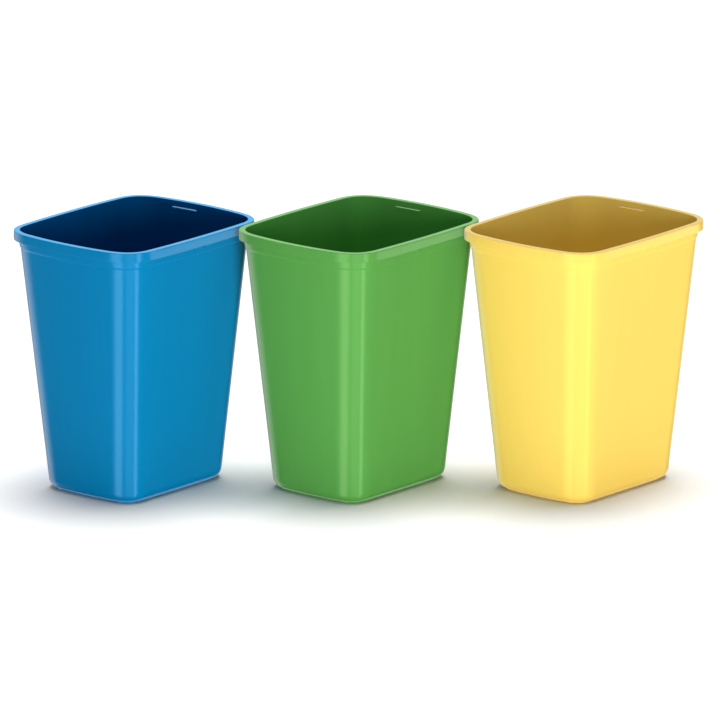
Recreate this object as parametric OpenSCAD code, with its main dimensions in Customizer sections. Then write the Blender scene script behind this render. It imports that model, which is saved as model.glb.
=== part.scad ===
// Row of three open-top waste-sorting bins: blue, green and yellow.
// Each bin is one injection moulding: a tapered tub with a flanged rim, a stacking band under
// the rim, two ribs that stiffen the rim at the front, and a small ledge for a liner inside.
// X runs along the bins' long sides, Y along their short sides, Z up; the floor is Z = 0 and
// the origin lies under the middle of the green bin.

/* [Bin] */
// Height from the floor to the top of the rim
bin_height = 420; // [300:5:600]
// Length over the rim, along X
rim_length = 344; // [280:2:480]
// Width over the rim, along Y
rim_width = 278; // [230:2:400]
// Length of the tapered walls carried down to the floor
base_length = 253; // [190:2:320]
// Width of the tapered walls carried down to the floor
base_width = 187; // [140:2:250]
// Corner radius over the rim
rim_corner = 58; // [40:1:80]
// Corner radius of the walls carried down to the floor
base_corner = 42; // [20:1:60]
// How far the long sides bow out at the rim
long_bow = 3.3; // [0:0.1:8]
// How far the short sides bow out at the rim
short_bow = 5.5; // [0:0.1:10]
// How far the long sides bow out at the floor
long_base_bow = 0.4; // [0:0.1:4]
// How far the short sides bow out at the floor
short_base_bow = 2.5; // [0:0.1:5]

/* [Walls] */
// Thickness of the side walls
wall_t = 2.5; // [1.8:0.1:4]
// Thickness of the floor of the bin
floor_t = 3; // [2:0.1:5]
// Height of the rounded lower edge
edge_round = 14; // [6:0.5:18]
// How far the rounded lower edge turns in under the walls
edge_inset = 10; // [5:0.5:14]

/* [Foot] */
// Height of the standing ring under the bin
foot_h = 3; // [1:0.5:5]
// Width of the standing ring
foot_w = 3; // [2:0.5:5]
// How far the standing ring is set back from the rounded edge
foot_setback = 2; // [0.5:0.5:3]

/* [Rim] */
// How far the rim stands out from the walls
rim_overhang = 7.8; // [7:0.1:14]
// Thickness of the rim's flat top
rim_t = 2.5; // [1.8:0.1:4]
// Depth of the rim's turned-down skirt, from its top
skirt_drop = 14.8; // [10:0.2:24]
// Thickness of the skirt
skirt_t = 2.2; // [1.6:0.1:3.5]
// Rounding of the rim's outer edge
rim_round = 1.6; // [0.5:0.1:2.4]
// Rounding of the rim's inner edge
lip_round = 1.2; // [0.5:0.1:2]
// Depth of the stacking band's lower edge below the top
band_drop = 27.5; // [20:0.5:40]
// How far the stacking band stands out from the wall
band_proud = 1.4; // [0.5:0.1:2.5]

/* [Rim ribs and liner ledge] */
// Distance between the two ribs under the front of the rim
rib_spacing = 24; // [12:1:60]
// Thickness of each rib
rib_t = 3; // [2:0.5:5]
// How far the ribs hang below the skirt
rib_hang = 3.4; // [0:0.2:6]
// Length of the liner ledge on the inside of the end wall
ledge_length = 46; // [20:1:60]
// Distance from the middle of the wall to the near end of the ledge
ledge_start = 7.5; // [0:0.5:15]
// How far the ledge stands out of the wall
ledge_depth = 5; // [3:0.5:8]
// Thickness of the ledge
ledge_t = 1.8; // [1.2:0.1:3]
// Depth of the ledge's top below the rim
ledge_drop = 9.5; // [6:0.5:20]

/* [Row] */
// Smallest clear gap between the rims of neighbouring bins
bin_gap = 1; // [1:0.5:60]
// How far each bin is staggered along X from its neighbour
stagger = 225.5; // [0:0.5:340]

/* [Hidden] */

blue = "#0079AB";
green = "#56994A";
yellow = "#FDD766";

// Facets of each half side, of each corner and of each rounded edge
long_steps = 4;
short_steps = 3;
corner_steps = 8;
edge_steps = 5;
bead_steps = 3;

// Handle length of a cubic curve that stands for a quarter circle, per unit of radius
quarter_handle = 0.5523;
// How far a rib or ledge is set into the walls that carry it
root = 1;
// The ribs stay this far behind the skirt's outer face
rib_setback = 0.2;

floor_z = foot_h + floor_t;
band_z = bin_height - band_drop;
skirt_z = bin_height - skirt_drop;
flange_z = bin_height - rim_t;
foot_out = edge_inset + foot_setback;
inner_round = edge_round - wall_t;
inner_inset = edge_inset - wall_t / 2;

function mix(low, high, t) = low + (high - low) * t;

// Plan sizes: [half length, half width, corner radius, bow of the long sides, bow of the short sides]
rim_plan = [rim_length / 2, rim_width / 2, rim_corner, long_bow, short_bow];
base_plan = [base_length / 2, base_width / 2, base_corner, long_base_bow, short_base_bow];
function grown(plan, d) = [plan[0] + d, plan[1] + d, plan[2] + d, plan[3], plan[4]];
// Outer face of the tapered walls at height z, moved out by d
function wall_plan(z, d) =
    let (top = grown(rim_plan, -rim_overhang))
    grown([for (i = [0:4]) mix(base_plan[i], top[i], z / bin_height)], d);

// Half side: a shallow arch of the given length that falls by bow from its middle, at height top
function half_side(length, top, bow, steps) =
    [for (i = [0:steps]) [length * i / steps, top - bow * pow(i / steps, 2)]];
// Inside points of the corner: a cubic curve from p to q that leaves along dp and arrives along dq
function corner(p, dp, q, dq, r) =
    let (h = quarter_handle * r, a = p + h * dp, b = q + h * dq)
    [for (i = [1:corner_steps - 1])
        let (t = i / corner_steps, s = 1 - t)
        s * s * s * p + 3 * s * s * t * a + 3 * s * t * t * b + t * t * t * q];
function unit(v) = v / norm(v);
function swapped(points) = [for (p = points) [p[1], p[0]]];
function backwards(list) = [for (i = [len(list) - 1:-1:0]) list[i]];
function without_ends(list) = [for (i = [1:len(list) - 2]) list[i]];

// One quarter of the plan, from the +Y middle to the +X middle
function quarter(plan) =
    let (half_x = plan[0] - plan[2], half_y = plan[1] - plan[2],
         long_side = half_side(half_x, plan[1], plan[3], long_steps),
         short_side = swapped(half_side(half_y, plan[0], plan[4], short_steps)),
         p = long_side[long_steps], q = short_side[short_steps],
         dp = unit([half_x, -2 * plan[3]]), dq = unit([-2 * plan[4], half_y]))
    concat(long_side, corner(p, dp, q, dq, plan[2]), backwards(short_side));
// The whole plan, clockwise seen from above, as points at height z
function ring(plan, z) =
    let (q = quarter(plan),
         points = concat(
             q,
             backwards(without_ends([for (p = q) [p[0], -p[1]]])),
             [for (p = q) [-p[0], -p[1]]],
             backwards(without_ends([for (p = q) [-p[0], p[1]]]))))
    [for (p = points) [p[0], p[1], z]];

// Solid skin through a stack of rings, closed by a flat face at each end
module skin(rings) {
    n = len(rings[0]);
    last = len(rings) - 1;
    sides = [for (k = [0:last - 1], i = [0:n - 1])
        let (j = (i + 1) % n)
        [k * n + i, k * n + j, (k + 1) * n + j, (k + 1) * n + i]];
    ends = [[for (i = [n - 1:-1:0]) i], [for (i = [0:n - 1]) last * n + i]];
    polyhedron([for (r = rings) each r], concat(sides, ends), convexity = 8);
}

// The tub, as rings from under the floor, up the outside, over the rim and down the inside
module tub() {
    foot = [
        ring(wall_plan(foot_h, -foot_out - foot_w), foot_h),
        ring(wall_plan(foot_h, -foot_out - foot_w), 0),
        ring(wall_plan(foot_h, -foot_out), 0),
        ring(wall_plan(foot_h, -foot_out), foot_h)];
    lower_edge = [for (i = [0:edge_steps])
        let (t = 90 * i / edge_steps, z = foot_h + edge_round * (1 - cos(t)))
        ring(wall_plan(z, -edge_inset * (1 - sin(t))), z)];
    band = [
        ring(wall_plan(band_z, 0), band_z),
        ring(wall_plan(band_z, band_proud), band_z + band_proud / 2),
        ring(wall_plan(flange_z, band_proud), flange_z)];
    skirt = [
        ring(grown(rim_plan, -skirt_t), flange_z),
        ring(grown(rim_plan, -skirt_t), skirt_z),
        ring(rim_plan, skirt_z)];
    outer_edge = [for (i = [0:bead_steps])
        let (t = 90 * i / bead_steps)
        ring(grown(rim_plan, -rim_round * (1 - cos(t))), bin_height - rim_round * (1 - sin(t)))];
    inner_edge = [for (i = [0:bead_steps])
        let (t = 90 * i / bead_steps, z = bin_height - lip_round * (1 - cos(t)))
        ring(wall_plan(z, -wall_t + lip_round * (1 - sin(t))), z)];
    inside = [for (i = [0:edge_steps])
        let (t = 90 * i / edge_steps, z = floor_z + inner_round * (1 - sin(t)))
        ring(wall_plan(z, -wall_t - inner_inset * (1 - cos(t))), z)];
    skin(concat(foot, lower_edge, band, skirt, outer_edge, inner_edge, inside));
}

// Two ribs across the hollow of the rim, at the front
module rim_ribs() {
    rib_z = skirt_z - rib_hang;
    carrier = wall_plan(rib_z, band_proud);
    y_front = -rim_width / 2 + rib_setback;
    y_back = -carrier[1] + root;
    for (side = [-1, 1])
        translate([side * rib_spacing / 2 - rib_t / 2, y_front, rib_z])
            cube([rib_t, y_back - y_front, flange_z + root - rib_z]);
}

// Ledge on the inside of the +X end wall; its plan follows the bowed wall
module liner_ledge() {
    z = bin_height - ledge_drop;
    plan = wall_plan(z - ledge_t, -wall_t);
    half_y = plan[1] - plan[2];
    function wall_x(y) = plan[0] - plan[4] * pow(y / half_y, 2);
    stops = [for (i = [0:short_steps]) ledge_start + ledge_length * i / short_steps];
    translate([0, 0, z - ledge_t])
        linear_extrude(ledge_t)
            polygon(concat(
                [for (y = stops) [wall_x(y) + root, y]],
                backwards([for (y = stops) [wall_x(y) - ledge_depth, y]])));
}

module bin() {
    union() {
        tub();
        rim_ribs();
        liner_ledge();
    }
}

// Half width of the rim at distance x from its middle
function rim_side(x) = lookup(x, quarter(rim_plan));
// Neighbours come closest halfway along the stagger
row_step = [stagger, -2 * rim_side(stagger / 2) - bin_gap];

module blue_bin() {
    color(blue) translate([-row_step[0], -row_step[1], 0]) bin();
}
module green_bin() {
    color(green) bin();
}
module yellow_bin() {
    color(yellow) translate([row_step[0], row_step[1], 0]) bin();
}

blue_bin();
green_bin();
yellow_bin();
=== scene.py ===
import math

import bmesh
import bpy
import numpy as np
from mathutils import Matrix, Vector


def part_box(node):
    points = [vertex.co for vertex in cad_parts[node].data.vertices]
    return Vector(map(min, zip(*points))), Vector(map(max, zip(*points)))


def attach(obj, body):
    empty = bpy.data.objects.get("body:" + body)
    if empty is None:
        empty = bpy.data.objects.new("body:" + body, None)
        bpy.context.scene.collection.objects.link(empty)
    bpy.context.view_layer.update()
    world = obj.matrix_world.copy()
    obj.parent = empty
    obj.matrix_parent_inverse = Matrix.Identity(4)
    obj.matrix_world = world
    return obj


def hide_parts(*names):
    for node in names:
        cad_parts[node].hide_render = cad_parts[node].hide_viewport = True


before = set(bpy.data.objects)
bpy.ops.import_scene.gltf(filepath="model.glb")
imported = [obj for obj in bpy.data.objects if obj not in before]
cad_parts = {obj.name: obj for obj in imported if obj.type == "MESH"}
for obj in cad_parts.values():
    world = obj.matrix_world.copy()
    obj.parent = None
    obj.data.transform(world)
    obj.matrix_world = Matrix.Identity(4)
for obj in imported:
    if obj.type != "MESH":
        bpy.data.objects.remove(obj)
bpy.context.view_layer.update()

# The tub: one bin of the row, a tapered shell 2.5 mm thick with a rolled-over rim, 420 mm high.
# It is injection moulded in one shot of polypropylene through a gate under its floor, and it
# stands on a low ring round its underside. All sizes here are in millimetres.

height = 420.0
# Each outline is half length, half width, corner radius, bow of the long and of the short sides
rim_outline = np.array([172.0, 139.0, 58.0, 3.3, 5.5])
foot_outline = np.array([126.5, 93.5, 42.0, 0.4, 2.5])
rim_overhang = 7.8
wall = 2.5
foot_height = 3.0
foot_width = 3.0
foot_setback = 12.0
lower_edge = (10.0, 14.0)
inner_edge = (8.75, 11.5)
inside_floor = 6.0
floor_inset = 4.0
floor_shares = (0.85, 0.65, 0.45, 0.28, 0.16)
gate_ring = 14.0
# Radius of each ring of the gate's dimple, and its share of the dimple's depth
gate_profile = ((8.0, 0.0), (7.4, 0.15), (7.0, 1.0), (6.5, 1.0), (2.2, 1.0), (0.5, 0.6))
gate_depth_under = 0.8
gate_depth_inside = 0.4
band_height = 392.5
band_step = 1.4
rim_underside = 417.5
skirt_bottom = 405.2
skirt = 2.2
long_steps = 9
short_steps = 7
corner_steps = 30
small_radius = 1.0
small_arc_rings = 5
arc_rings = 9
# The handle of a curve that draws a quarter circle, as a share of its radius
quarter_handle = 0.5523
# The largest share of a straight stretch that one rounding may take up
rounding_share = 0.48


def grown(outline, out):
    return outline + np.array([out, out, out, 0.0, 0.0])


def wall_outline(z, out):
    """Outer face of the tapered walls at height z, moved out by out."""
    top = grown(rim_outline, -rim_overhang)
    return grown(foot_outline + (top - foot_outline) * z / height, out)


def quarter_turn(outline):
    """Points from the middle of the +Y side round the corner to the middle of the +X side."""
    half_long, half_short, radius, long_bow, short_bow = outline
    run_x = half_long - radius
    run_y = half_short - radius
    t = np.linspace(0.0, 1.0, long_steps + 1)
    long_side = np.stack([run_x * t, half_short - long_bow * t**2], 1)
    t = np.linspace(1.0, 0.0, short_steps + 1)
    short_side = np.stack([half_long - short_bow * t**2, run_y * t], 1)
    leave = np.array([run_x, -2 * long_bow])
    arrive = np.array([-2 * short_bow, run_y])
    p = long_side[-1]
    q = short_side[0]
    a = p + quarter_handle * radius * leave / np.linalg.norm(leave)
    b = q + quarter_handle * radius * arrive / np.linalg.norm(arrive)
    t = np.linspace(0.0, 1.0, corner_steps + 1)[1:-1, None]
    corner = (1 - t)**3 * p + 3 * (1 - t)**2 * t * a + 3 * (1 - t) * t**2 * b + t**3 * q
    return np.concatenate([long_side, corner, short_side])


def outline_ring(outline):
    """The closed outline, clockwise seen from above."""
    q = quarter_turn(outline)
    flip_y = (q * [1, -1])[1:-1][::-1]
    flip_x = (q * [-1, 1])[1:-1][::-1]
    return np.concatenate([q, flip_y, -q, flip_x])


def eased(stations):
    """Rounds each station of the profile by its own radius, with a short arc of rings."""
    path = [np.append(s[0], s[1]) for s in stations]
    rings = [path[0]]
    for k in range(1, len(path) - 1):
        radius = stations[k][2]
        if radius == 0.0:
            rings.append(path[k])
            continue
        back = path[k - 1] - path[k]
        ahead = path[k + 1] - path[k]
        back_length = math.hypot(back[0], back[5])
        ahead_length = math.hypot(ahead[0], ahead[5])
        start = path[k] + back * min(radius / back_length, rounding_share)
        end = path[k] + ahead * min(radius / ahead_length, rounding_share)
        a = start + quarter_handle * (path[k] - start)
        b = end + quarter_handle * (path[k] - end)
        for t in np.linspace(0.0, 1.0, small_arc_rings if radius < small_radius else arc_rings):
            s = 1 - t
            rings.append(s**3 * start + 3 * s * s * t * a + 3 * s * t * t * b + t**3 * end)
    rings.append(path[-1])
    return rings


# The profile from the middle of the underside up the wall, over the rim and down inside. Each
# station is an outline, its height and the radius that rounds it.
stations = [
    (wall_outline(foot_height, -foot_setback - foot_width - floor_inset), foot_height, 0.0),
    (wall_outline(foot_height, -foot_setback - foot_width), foot_height, 0.6),
    (wall_outline(foot_height, -foot_setback - foot_width), 0.0, 0.5),
    (wall_outline(foot_height, -foot_setback), 0.0, 0.5),
    (wall_outline(foot_height, -foot_setback), foot_height, 0.4),
]
for turn in np.radians(np.linspace(0.0, 90.0, 15)):
    z = foot_height + lower_edge[1] * (1 - math.cos(turn))
    stations.append((wall_outline(z, -lower_edge[0] * (1 - math.sin(turn))), z, 0.0))
for z in np.linspace(30.0, 380.0, 15):
    stations.append((wall_outline(z, 0.0), z, 0.0))
stations += [
    (wall_outline(band_height - 1.0, 0.0), band_height - 1.0, 1.4),
    (wall_outline(band_height + 0.9, band_step), band_height + 0.9, 1.0),
    (wall_outline(400.0, band_step), 400.0, 0.0),
    (wall_outline(rim_underside, band_step), rim_underside, 1.2),
    (grown(rim_outline, -skirt), rim_underside, 1.0),
    (grown(rim_outline, -skirt), skirt_bottom, 0.5),
    (rim_outline, skirt_bottom, 0.6),
    (rim_outline, 412.0, 0.0),
    (rim_outline, height, 1.6),
    (wall_outline(height, -wall), height, 1.2),
    (wall_outline(410.0, -wall), 410.0, 0.0),
]
for z in np.linspace(395.0, 30.0, 16):
    stations.append((wall_outline(z, -wall), z, 0.0))
for turn in np.radians(np.linspace(0.0, 90.0, 11)):
    z = inside_floor + inner_edge[1] * (1 - math.sin(turn))
    stations.append((wall_outline(z, -wall - inner_edge[0] * (1 - math.cos(turn))), z, 0.0))
stations.append(
    (wall_outline(inside_floor, -wall - inner_edge[0] - floor_inset), inside_floor, 0.0)
)

tub = bmesh.new()


def ring_of_verts(points, z):
    return [tub.verts.new((x / 1000, y / 1000, z / 1000)) for x, y in points]


def skin(lower, upper, side):
    """Faces between two rings; side is 0 for the outside of the tub and 1 for its inside."""
    for i in range(len(lower)):
        j = (i + 1) % len(lower)
        tub.faces.new((lower[i], lower[j], upper[j], upper[i])).material_index = side


def floor_rings(outline, z, gate_depth):
    """Rings that close a floor: the outline shrinks and turns round into the gate's dimple."""
    edge = outline_ring(outline)
    angle = np.arctan2(edge[:, 1] / outline[1], edge[:, 0] / outline[0])
    circle = np.stack([np.cos(angle), np.sin(angle)], 1)
    rings = []
    for share in floor_shares:
        blend = (1 - share)**1.5
        rings.append(ring_of_verts(edge * share * (1 - blend) + circle * gate_ring * blend, z))
    for radius, depth_share in gate_profile:
        rings.append(ring_of_verts(circle * radius, z + gate_depth * depth_share))
    return rings


profile = [(r[:5], r[5]) for r in eased(stations)]
rings = [ring_of_verts(outline_ring(outline), z) for outline, z in profile]
under = floor_rings(profile[0][0], foot_height, gate_depth_under)
inner = floor_rings(profile[-1][0], inside_floor, gate_depth_inside)
rings = under[::-1] + rings + inner
# Past the last ring on top of the rim, the faces belong to the inside
lip_zone = 0.2
lip = len(under) + max(k for k, ring in enumerate(profile) if ring[1] > height - lip_zone)
for k in range(len(rings) - 1):
    skin(rings[k], rings[k + 1], 1 if k > lip else 0)
tub.faces.new(rings[0][::-1])
tub.faces.new(rings[-1]).material_index = 1
bmesh.ops.recalc_face_normals(tub, faces=tub.faces[:])
tub_mesh = bpy.data.meshes.new("tub")
tub.to_mesh(tub_mesh)
# One slot for the outside and one for the inside, filled when the tub gets its colour
tub_mesh.materials.append(None)
tub_mesh.materials.append(None)
tub.free()
tub_piece = bpy.data.objects.new("tub", tub_mesh)
bpy.context.scene.collection.objects.link(tub_piece)

# The rim ribs and the liner ledge: two plates that stiffen the hollow rim at the middle of the
# front, and a small shelf inside one end wall that a liner bag is tucked under. They come out
# of the same mould as the tub, so they are joined to it and have drafted, softened edges.

rib_positions = (-12.0, 12.0)
rib_thickness = 3.0
rib_draft = 0.35
rib_lean = 1.0
rib_inset = 0.2
rib_softness = 0.5
rib_bottom = 401.8
ledge_from = 7.5
ledge_length = 46.0
ledge_depth = 5.0
ledge_top = 410.5
ledge_thickness = 1.8
ledge_softness = 0.35
# How far the ribs and the ledge run into the tub
root = 1.0


def moulded_block(corners_low, corners_high, z_low, z_high, softness):
    """A block between two outlines of equal length, with all its edges rounded."""
    block = bmesh.new()
    low = [block.verts.new((x / 1000, y / 1000, z_low / 1000)) for x, y in corners_low]
    high = [block.verts.new((x / 1000, y / 1000, z_high / 1000)) for x, y in corners_high]
    count = len(low)
    for i in range(count):
        j = (i + 1) % count
        block.faces.new((low[i], low[j], high[j], high[i]))
    block.faces.new(low[::-1])
    block.faces.new(high)
    bmesh.ops.recalc_face_normals(block, faces=block.faces[:])
    sharp = [edge for edge in block.edges if edge.calc_face_angle(0.0) > math.radians(40)]
    bmesh.ops.bevel(
        block, geom=sharp, offset=softness / 1000, segments=3, profile=0.5, affect="EDGES",
        clamp_overlap=True,
    )
    mesh = bpy.data.meshes.new("block")
    block.to_mesh(mesh)
    block.free()
    piece = bpy.data.objects.new("block", mesh)
    bpy.context.scene.collection.objects.link(piece)
    return piece


def join_block(piece):
    """Unites the block with the tub, as one skin."""
    union = tub_piece.modifiers.new("union", "BOOLEAN")
    union.operation = "UNION"
    union.solver = "EXACT"
    union.object = piece
    bpy.context.view_layer.update()
    shape = tub_piece.evaluated_get(bpy.context.evaluated_depsgraph_get())
    mesh = bpy.data.meshes.new_from_object(shape)
    tub_piece.modifiers.remove(union)
    tub_piece.data = mesh
    bpy.data.objects.remove(piece)


rib_front = -rim_outline[1] + rib_inset
rib_back = -wall_outline(rib_bottom, band_step)[1] + root
for x in rib_positions:
    high = rib_thickness / 2
    low = high - rib_draft
    leaning = rib_front + rib_lean
    join_block(moulded_block(
        [(x - low, leaning), (x + low, leaning), (x + low, rib_back), (x - low, rib_back)],
        [(x - high, rib_front), (x + high, rib_front), (x + high, rib_back), (x - high, rib_back)],
        rib_bottom, rim_underside + root, rib_softness,
    ))

shelf = wall_outline(ledge_top - ledge_thickness, -wall)
shelf_run = shelf[1] - shelf[2]
stops = np.linspace(ledge_from, ledge_from + ledge_length, 7)
shelf_wall = [(shelf[0] - shelf[4] * (y / shelf_run)**2, y) for y in stops]
shelf_outline = [(x + root, y) for x, y in shelf_wall]
shelf_outline += [(x - ledge_depth, y) for x, y in shelf_wall[::-1]]
join_block(moulded_block(
    shelf_outline, shelf_outline, ledge_top - ledge_thickness, ledge_top, ledge_softness,
))

# The finish of the bins: polypropylene pigmented right through, moulded against a finely
# spark-eroded steel cavity outside and a rougher core inside. That gives a deep even colour, a
# soft satin gloss, and faint lighter and darker bands where the melt flowed up from the gate. The
# inside of each tub is drawn in its own shades of the pigment, which are painted shade.

polypropylene_ior = 1.49
outer_roughness = 0.2
core_roughness = 0.42
outer_gloss = 0.5
core_gloss = 0.0
# Sizes of the patterns in millimetres: the flow bands across and up the wall, the patches that
# handling and ejection leave in the gloss, and the eroded grain. The real grain is 0.1 to 0.2 mm:
# too fine to show, so it is drawn 1.2 mm wide and shallow.
flow_across = 35.7
flow_along = 303.0
patch_width = 15.4
grain_width = 1.205
grain_depth = 0.02
# How far the patches take the roughness down and up
gloss_wander = (-0.01, 0.02)
# The middle part of each noise that carries the pattern
noise_span = (0.3, 0.7)


def linear(hex_colour):
    """An sRGB hex colour as linear red, green, blue and alpha."""
    parts = [int(hex_colour[i:i + 2], 16) / 255 for i in (1, 3, 5)]
    return tuple(c / 12.92 if c <= 0.04045 else ((c + 0.055) / 1.055)**2.4 for c in parts) + (1.0,)


def add_node(tree, kind, inputs=None, **settings):
    """Adds a node; inputs holds a plain value or an output to link for each named socket."""
    node = tree.nodes.new(kind)
    for name, value in settings.items():
        setattr(node, name, value)
    for socket, value in (inputs or {}).items():
        if isinstance(value, bpy.types.NodeSocket):
            tree.links.new(value, node.inputs[socket])
        else:
            node.inputs[socket].default_value = value
    return node


def moulded_polypropylene(name, shade, light_shade, gloss_tint, roughness, gloss):
    material = bpy.data.materials.new(name)
    material.use_nodes = True
    tree = material.node_tree
    tree.nodes.clear()
    place = add_node(tree, "ShaderNodeTexCoord").outputs["Object"]
    per_metre = (1000 / flow_across, 1000 / flow_across, 1000 / flow_along)
    stretched = add_node(tree, "ShaderNodeMapping", {"Vector": place, "Scale": per_metre})
    flow = add_node(
        tree, "ShaderNodeTexNoise",
        {"Vector": stretched.outputs["Vector"], "Scale": 1.0, "Detail": 3.0, "Roughness": 0.55},
    )
    flow_share = add_node(
        tree, "ShaderNodeMapRange",
        {"Value": flow.outputs["Fac"], "From Min": noise_span[0], "From Max": noise_span[1]},
    )
    # Sockets 6 and 7 are the two colours of a Mix node
    pigment = add_node(
        tree, "ShaderNodeMix",
        {0: flow_share.outputs["Result"], 6: linear(shade), 7: linear(light_shade)},
        data_type="RGBA",
    )
    patches = add_node(
        tree, "ShaderNodeTexNoise",
        {"Vector": place, "Scale": 1000 / patch_width, "Detail": 4.0, "Roughness": 0.6},
    )
    sheen_patches = add_node(
        tree, "ShaderNodeMapRange",
        {
            "Value": patches.outputs["Fac"], "From Min": noise_span[0], "From Max": noise_span[1],
            "To Min": roughness + gloss_wander[0], "To Max": roughness + gloss_wander[1],
        },
    )
    grain = add_node(
        tree, "ShaderNodeTexNoise",
        {"Vector": place, "Scale": 1000 / grain_width, "Detail": 2.0, "Roughness": 0.5},
    )
    bump = add_node(
        tree, "ShaderNodeBump",
        {"Height": grain.outputs["Fac"], "Strength": 0.2, "Distance": grain_depth / 1000},
    )
    shader = add_node(
        tree, "ShaderNodeBsdfPrincipled",
        {
            "Base Color": pigment.outputs[2], "Roughness": sheen_patches.outputs["Result"],
            "IOR": polypropylene_ior, "Normal": bump.outputs["Normal"],
            "Specular IOR Level": gloss, "Specular Tint": linear(gloss_tint),
        },
    )
    add_node(tree, "ShaderNodeOutputMaterial", {"Surface": shader.outputs["BSDF"]})
    return material


# Each pigment: its shade, the lighter shade of the flow bands, and the tint of its gloss
pigments = {
    "blue": ("#0075A8", "#0078AB", "#9EDCFF"),
    "green": ("#569B47", "#589E49", "#C4D2AC"),
    "yellow": ("#FFD966", "#FFDB69", "#C8C080"),
}
# The inside of each tub in its own shades of the pigment, the second for the flow bands. They
# are painted shade, set to how the inside looks in the tub's shade: far darker for blue, near the
# outer shades for green and yellow.
inside_painted_shades = {
    "blue": ("#004F83", "#005287"),
    "green": ("#579F4C", "#59A24E"),
    "yellow": ("#F4D974", "#F5DB76"),
}
cavity_side = {}
painted_shade_core_side = {}
for colour, shades in pigments.items():
    name = "moulded_polypropylene_" + colour
    cavity_side[colour] = moulded_polypropylene(name, *shades, outer_roughness, outer_gloss)
    # The inside's colour is painted shade; its rougher finish without gloss is the core's own
    painted_shade_core_side[colour] = moulded_polypropylene(
        name + "_inside", *inside_painted_shades[colour], shades[2], core_roughness, core_gloss,
    )

# The row: the blue, green and yellow bins all come out of the same mould, in three pigments. They
# stand loose on the floor side by side, their rims 1 mm apart.

crease = math.radians(50)
moulded_bins = []
for colour in pigments:
    low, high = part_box(colour + "_bin")
    mesh = tub_piece.data.copy()
    mesh.name = colour + "_moulding"
    mesh.materials[0] = cavity_side[colour]
    mesh.materials[1] = painted_shade_core_side[colour]
    mesh.shade_smooth()
    mesh.set_sharp_from_angle(angle=crease)
    piece = bpy.data.objects.new(colour + "_moulding", mesh)
    bpy.context.scene.collection.objects.link(piece)
    piece.location = ((low.x + high.x) / 2, (low.y + high.y) / 2, low.z)
    normals = piece.modifiers.new("even_shading", "WEIGHTED_NORMAL")
    normals.keep_sharp = True
    # Gloss shows the studio and not the next bin, so that the walls keep their full colour
    piece.visible_glossy = False
    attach(piece, colour)
    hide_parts(colour + "_bin")
    moulded_bins.append(piece)
bpy.data.objects.remove(tub_piece)

# The floor: a plain pale studio floor that runs out of sight, lit until it shows white. It is
# matt, and the bins' gloss doesn't mirror it, so their walls keep their full colour.

floor_reach = 40.0
floor_shape = bmesh.new()
bmesh.ops.create_grid(floor_shape, x_segments=8, y_segments=8, size=floor_reach)
floor_mesh = bpy.data.meshes.new("studio_floor")
floor_shape.to_mesh(floor_mesh)
floor_shape.free()
floor_piece = bpy.data.objects.new("studio_floor", floor_mesh)
bpy.context.scene.collection.objects.link(floor_piece)
floor_piece.visible_glossy = False
pale_paint = bpy.data.materials.new("matt_pale_floor_paint")
pale_paint.use_nodes = True
paint = pale_paint.node_tree.nodes["Principled BSDF"]
paint.inputs["Base Color"].default_value = linear("#C8C8C8")
paint.inputs["Roughness"].default_value = 0.9
paint.inputs["Specular IOR Level"].default_value = 0.1
floor_mesh.materials.append(pale_paint)

# The light: a plain white studio. Large silks out of sight light the floor and the bins. Soft boxes
# that only gloss shows stand either side of the camera, where they give the near corner of each
# bin its two upright streaks, and on the right, below and behind.

view_turn = math.radians(50.35752)
view_drop = math.radians(14.66525)

world = bpy.data.worlds.new("soft_white_studio")
bpy.context.scene.world = world
world.use_nodes = True
studio = world.node_tree
studio.nodes.clear()
direction = add_node(studio, "ShaderNodeTexCoord").outputs["Generated"]
# Turned so that +Y points from the bins to the camera's side and +X to its right
turned = add_node(
    studio, "ShaderNodeVectorRotate",
    {"Vector": direction, "Angle": view_turn + math.pi},
    rotation_type="Z_AXIS",
)
parts = add_node(studio, "ShaderNodeSeparateXYZ", {"Vector": turned.outputs["Vector"]})
left = add_node(studio, "ShaderNodeMath", {0: parts.outputs["X"], 1: -1.0}, operation="MULTIPLY")
around = add_node(
    studio, "ShaderNodeMath", {0: left.outputs[0], 1: parts.outputs["Y"]}, operation="ARCTAN2",
)
upward = add_node(studio, "ShaderNodeMath", {0: parts.outputs["Z"]}, operation="ARCSINE")
azimuth, elevation = (
    add_node(studio, "ShaderNodeMath", {0: angle.outputs[0]}, operation="DEGREES").outputs[0]
    for angle in (around, upward)
)
# Each soft box: its strength, then the azimuths and the elevations in degrees between which it
# fades in, stays full and fades out
tall = (-62, -34, 60, 90)
above = (4, 12, 90, 91)
soft_boxes = (
    (4.0, (-56, -44, -30, -16), tall),
    (4.6, (30, 36, 46, 54), tall),
    (1.4, (-16, -4, 22, 32), tall),
    (3.4, (78, 92, 108, 122), (-17, -15, -12, -9)),
    (0.7, (-181, -180, -120, -100), above),
    (0.7, (100, 120, 180, 181), above),
    (1.7, (-150, -135, -118, -98), (-45, -35, 4, 12)),
    (0.7, (-181, -180, -150, -135), (-70, -55, 4, 12)),
    (0.7, (135, 150, 180, 181), (-70, -55, 4, 12)),
)
reflected = 0.0
for strength, sides, ends in soft_boxes:
    glare = strength
    for angle, (start, full, fading, end) in ((azimuth, sides), (elevation, ends)):
        for dark, bright in ((start, full), (end, fading)):
            edge = add_node(
                studio, "ShaderNodeMapRange",
                {"Value": angle, "From Min": dark, "From Max": bright},
                interpolation_type="SMOOTHSTEP",
            )
            glare = add_node(
                studio, "ShaderNodeMath", {0: glare, 1: edge.outputs["Result"]},
                operation="MULTIPLY",
            ).outputs[0]
    reflected = add_node(
        studio, "ShaderNodeMath", {0: reflected, 1: glare}, operation="ADD",
    ).outputs[0]
even_glow = 0.2
ray = add_node(studio, "ShaderNodeLightPath")
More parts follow.
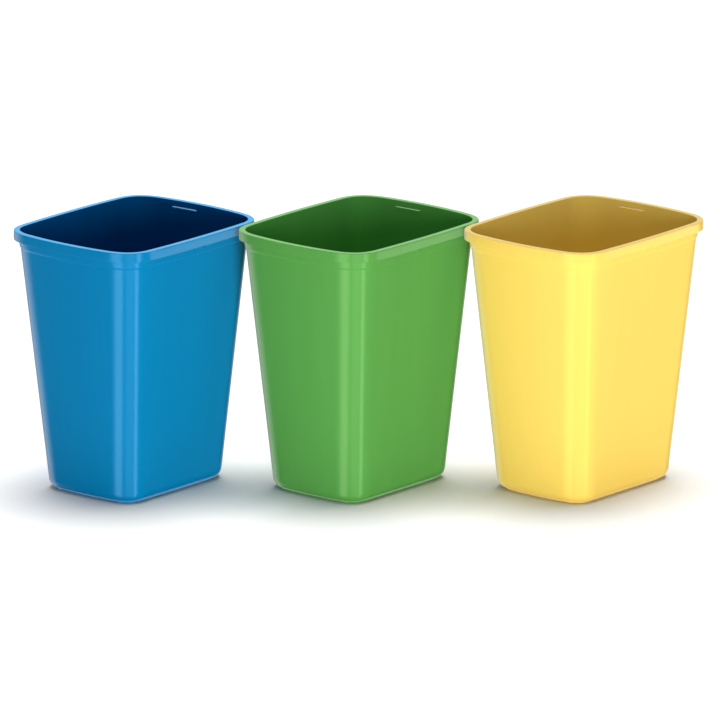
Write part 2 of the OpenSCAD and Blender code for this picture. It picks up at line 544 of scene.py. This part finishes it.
# Sockets 2 and 3 are the two numbers of a Mix node
shown = add_node(
    studio, "ShaderNodeMix",
    {0: ray.outputs["Is Glossy Ray"], 2: even_glow, 3: reflected},
    data_type="FLOAT",
)
glow = add_node(
    studio, "ShaderNodeBackground",
    {"Color": linear("#FFFFFF"), "Strength": shown.outputs[0]},
)
add_node(studio, "ShaderNodeOutputWorld", {"Surface": glow.outputs["Background"]})
# Gloss finds the soft boxes by itself, and the even glow is too weak to need sampling
world.cycles.sampling_method = "NONE"


def gathered(name, pieces):
    """A collection of pieces for the lights to be linked to."""
    group = bpy.data.collections.new(name)
    for piece in pieces:
        group.objects.link(piece)
    return group


shading_bins = gathered("shading_bins", moulded_bins)


def silk(name, strength, spread, turn, drop, lit):
    """A large soft light. It lights only what is gathered in lit, and only the bins shade it.

    Spread is its width, turn its angle round from the camera, and drop how far it shines down,
    all in degrees.
    """
    source = bpy.data.lights.new(name, "SUN")
    source.energy = strength
    source.angle = math.radians(spread)
    light = bpy.data.objects.new(name, source)
    bpy.context.scene.collection.objects.link(light)
    light.rotation_euler = (math.radians(90 - drop), 0.0, math.radians(turn) - view_turn)
    light.visible_glossy = False
    light.visible_camera = False
    light.light_linking.receiver_collection = lit
    light.light_linking.blocker_collection = shading_bins


# Each piece is lit through one group only, which its two lights share: lights whose groups
# overlap in part don't give the same picture every time
lit_floor = gathered("lit_floor", [floor_piece])
silk("sky_silk", strength=1.3, spread=150.0, turn=0.0, drop=86.0, lit=lit_floor)
silk("overhead_silk", strength=4.8, spread=33.0, turn=-18.0, drop=98.0, lit=lit_floor)
# Each bin has its own front light, turned so that both of its walls match, and its own light from
# behind and above that picks out its rim
front_strengths = (2.58, 2.26, 1.96)
front_turns = (20.0, 8.6, 3.6)
rim_strengths = (8.0, 5.0, 2.5)
for piece, front, turn, rim in zip(moulded_bins, front_strengths, front_turns, rim_strengths):
    lit = gathered(piece.name + "_lit", [piece])
    silk(piece.name + "_front_silk", strength=front, spread=30.0, turn=turn, drop=-3.0, lit=lit)
    silk(piece.name + "_rim_silk", strength=rim, spread=12.0, turn=5.0, drop=122.0, lit=lit)

# The camera: a long lens 19 m away, turned and tilted a little down at the near corners of the
# bins, so that uprights stay nearly parallel.

lens = bpy.data.cameras.new("camera")
lens.lens = 600.0
lens.sensor_width = 36.0
lens.clip_start = 0.1
lens.clip_end = 200.0
camera = bpy.data.objects.new("camera", lens)
bpy.context.scene.collection.objects.link(camera)
camera.location = (-14.09663, -11.68112, 4.99008)
camera.rotation_euler = (math.pi / 2 - view_drop, 0.0, -view_turn)
bpy.context.scene.camera = camera
bpy.context.scene.view_settings.view_transform = "Standard"
